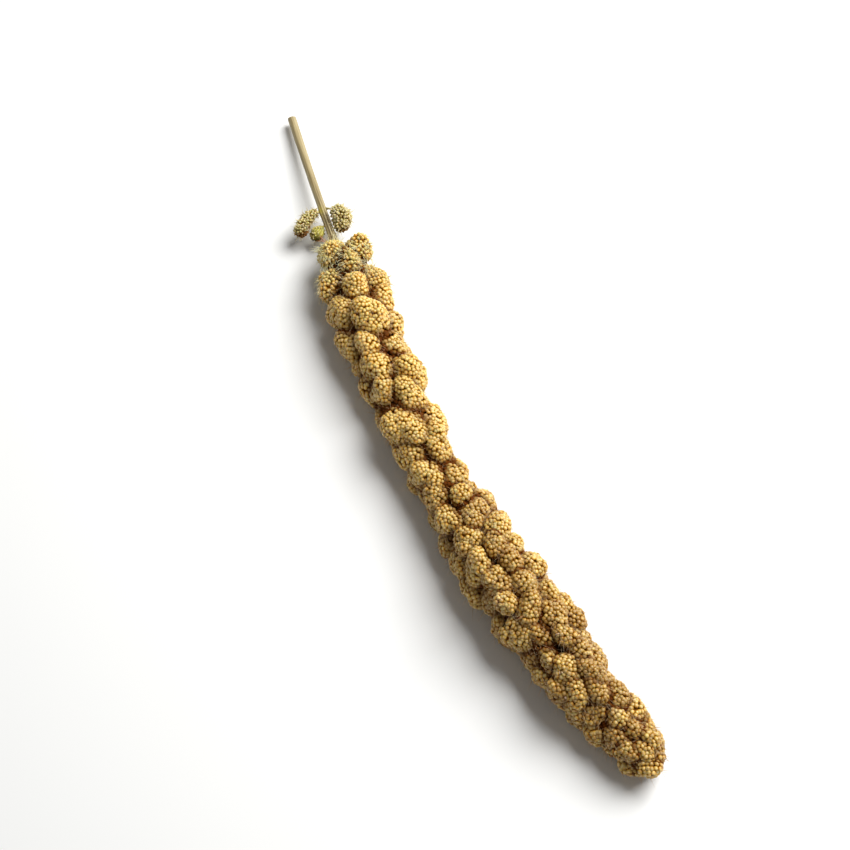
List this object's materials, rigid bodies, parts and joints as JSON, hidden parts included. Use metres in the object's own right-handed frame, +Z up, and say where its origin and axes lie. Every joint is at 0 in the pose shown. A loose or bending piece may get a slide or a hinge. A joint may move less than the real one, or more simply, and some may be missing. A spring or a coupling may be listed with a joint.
{
  "type": "dried foxtail millet head",
  "caption": "Long dense dried seed head of grain lobes on a cut straw stem with small side clusters, lying on a surface.",
  "frame": {"origin": "on the resting plane, under the middle of the bounding box", "axes": "+Z up from the surface it lies on, the stem's cut end towards +Y and the head's tip towards -Y"},
  "size_m": [0.0463, 0.3736, 0.0332],
  "materials": {
    "straw": "smooth dry straw with fine lengthwise grooves",
    "dried_seed": "dry golden brown seed, slightly glossy husks with fine pale bristles",
    "greenish_seed": "dry seed that stayed a little green, slightly glossy husks"
  },
  "bodies": {
    "root": {"stem": "straw", "seed_head": "dried_seed", "side_cluster_left": "dried_seed", "side_cluster_right": "dried_seed", "side_cluster_behind": "greenish_seed"}
  },
  "joints": []
}
